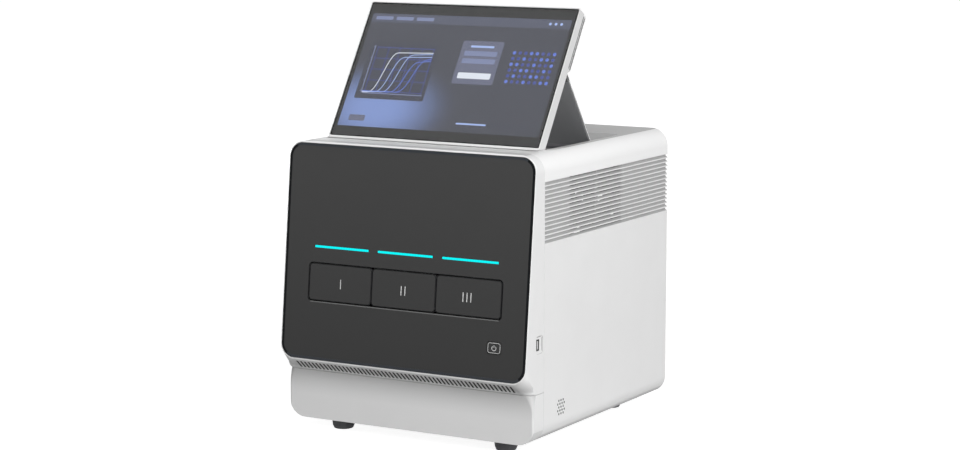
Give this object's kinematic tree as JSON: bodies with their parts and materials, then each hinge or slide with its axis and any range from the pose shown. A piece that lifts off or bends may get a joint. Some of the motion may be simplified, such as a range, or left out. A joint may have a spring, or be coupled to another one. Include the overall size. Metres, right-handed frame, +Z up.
{
  "type": "real-time pcr system",
  "caption": "Benchtop unit with module drawers side by side in a leaning front, heated lids and optics inside, and a tilting display on a fold-out stand.",
  "frame": {"origin": "middle of the footprint, on the surface that the feet stand on", "axes": "+X to the right seen from the front, +Y to the rear, +Z up; the drawers open along -Y"},
  "size_m": [0.36, 0.3882, 0.5438],
  "materials": {
    "white_shell": "satin white moulding",
    "dark_panel": "satin charcoal",
    "dark_plastic": "matte black",
    "light_guide": "lit cyan",
    "foot_rubber": "matte dark grey",
    "sheet_steel": "light grey paint",
    "tray_aluminium": "brushed",
    "cast_aluminium": "bead blasted",
    "polished_steel": "bright",
    "motor_black": "black",
    "supply_case": "plated sheet look",
    "circuit_green": "solder mask",
    "display_glass": "glossy cover glass",
    "screen_film": "lit slate blue",
    "stand_grey": "satin dark grey"
  },
  "bodies": {
    "casing": {"main_cover": "white_shell", "front_bezel": "white_shell", "front_panel": "dark_panel", "lower_front_cover": "white_shell", "base_plate": "sheet_steel", "rear_panel": "sheet_steel", "foot_1": "foot_rubber", "foot_2": "foot_rubber", "foot_3": "foot_rubber", "foot_4": "foot_rubber", "light_bar_1": "light_guide", "light_bar_2": "light_guide", "light_bar_3": "light_guide", "drive_motor_1": "motor_black", "drive_motor_2": "motor_black", "drive_motor_3": "motor_black", "slide_bed": "tray_aluminium", "lid_bridge": "tray_aluminium", "optics_rail": "polished_steel", "power_supply": "supply_case", "control_board": "circuit_green", "fan_frame_1": "dark_plastic", "fan_frame_2": "dark_plastic", "mains_inlet": "dark_plastic", "switch_frame": "dark_plastic", "data_socket": "supply_case", "side_port": "polished_steel", "speaker": "dark_plastic", "hinge_bracket_left": "cast_aluminium", "hinge_bracket_right": "cast_aluminium"},
    "drawer_1": {"drawer_front_1": "dark_panel", "drawer_tray_1": "tray_aluminium", "heat_sink_1": "cast_aluminium", "sample_block_1": "cast_aluminium"},
    "drawer_2": {"drawer_front_2": "dark_panel", "drawer_tray_2": "tray_aluminium", "heat_sink_2": "cast_aluminium", "sample_block_2": "cast_aluminium"},
    "drawer_3": {"drawer_front_3": "dark_panel", "drawer_tray_3": "tray_aluminium", "heat_sink_3": "cast_aluminium", "sample_block_3": "cast_aluminium"},
    "screw_1": {"lead_screw_1": "polished_steel"},
    "screw_2": {"lead_screw_2": "polished_steel"},
    "screw_3": {"lead_screw_3": "polished_steel"},
    "lid_1": {"heated_lid_1": "cast_aluminium"},
    "lid_2": {"heated_lid_2": "cast_aluminium"},
    "lid_3": {"heated_lid_3": "cast_aluminium"},
    "optics": {"optics_head": "dark_plastic"},
    "fan_1": {"fan_rotor_1": "dark_plastic"},
    "fan_2": {"fan_rotor_2": "dark_plastic"},
    "rocker": {"switch_rocker": "dark_plastic"},
    "button": {"power_button": "dark_panel"},
    "display": {"display_frame": "white_shell", "display_glass": "display_glass", "display_screen": "screen_film", "display_back_cover": "white_shell", "stand_pin": "polished_steel"},
    "stand": {"display_stand": "stand_grey", "stand_foot_strip": "foot_rubber"}
  },
  "joints": [
    {"name": "drawer_1_slide", "type": "slide", "parent": "casing", "child": "drawer_1", "axis": [0, -1, 0], "range_m": [0, 0.12]},
    {"name": "drawer_2_slide", "type": "slide", "parent": "casing", "child": "drawer_2", "axis": [0, -1, 0], "range_m": [0, 0.12]},
    {"name": "drawer_3_slide", "type": "slide", "parent": "casing", "child": "drawer_3", "axis": [0, -1, 0], "range_m": [0, 0.12]},
    {"name": "screw_1_spin", "type": "hinge", "parent": "casing", "child": "screw_1", "pos_m": [-0.094, 0.0576, 0.1889], "axis": [0, 1, 0], "range_deg": [-20, 2200]},
    {"name": "screw_2_spin", "type": "hinge", "parent": "casing", "child": "screw_2", "pos_m": [0, 0.0576, 0.1889], "axis": [0, 1, 0], "range_deg": [-20, 2200]},
    {"name": "screw_3_spin", "type": "hinge", "parent": "casing", "child": "screw_3", "pos_m": [0.094, 0.0576, 0.1889], "axis": [0, 1, 0], "range_deg": [-20, 2200]},
    {"name": "lid_1_lift", "type": "slide", "parent": "casing", "child": "lid_1", "axis": [0, 0, 1], "range_m": [0, 0.0075]},
    {"name": "lid_2_lift", "type": "slide", "parent": "casing", "child": "lid_2", "axis": [0, 0, 1], "range_m": [0, 0.0075]},
    {"name": "lid_3_lift", "type": "slide", "parent": "casing", "child": "lid_3", "axis": [0, 0, 1], "range_m": [0, 0.0075]},
    {"name": "optics_scan", "type": "slide", "parent": "casing", "child": "optics", "axis": [1, 0, 0], "range_m": [-0.094, 0.094]},
    {"name": "fan_1_spin", "type": "hinge", "parent": "casing", "child": "fan_1", "pos_m": [-0.075, 0.1738, 0.2489], "axis": [0, 1, 0], "continuous": true},
    {"name": "fan_2_spin", "type": "hinge", "parent": "casing", "child": "fan_2", "pos_m": [0.075, 0.1738, 0.2489], "axis": [0, 1, 0], "continuous": true},
    {"name": "mains_rocker", "type": "hinge", "parent": "casing", "child": "rocker", "pos_m": [-0.07, 0.1884, 0.0789], "axis": [1, 0, 0], "range_deg": [0, 14]},
    {"name": "power_button_press", "type": "slide", "parent": "casing", "child": "button", "axis": [0, 0.9947, -0.1028], "range_m": [0, 0.001], "stiffness_N_per_m": 900},
    {"name": "display_tilt", "type": "hinge", "parent": "casing", "child": "display", "pos_m": [0, -0.1091, 0.3649], "axis": [1, 0, 0], "range_deg": [-22, 15]},
    {"name": "stand_swing", "type": "hinge", "parent": "display", "child": "stand", "pos_m": [0, -0.03999, 0.46089], "axis": [1, 0, 0], "range_deg": [-30.5, 44.5]}
  ],
  "couplings": [
    {"joint": "screw_1_spin", "follows": "drawer_1_slide", "rad_per_m": 314.16},
    {"joint": "screw_2_spin", "follows": "drawer_2_slide", "rad_per_m": 314.16},
    {"joint": "screw_3_spin", "follows": "drawer_3_slide", "rad_per_m": 314.16},
    {"joint": "stand_swing", "follows": "display_tilt", "ratio": -2}
  ]
}
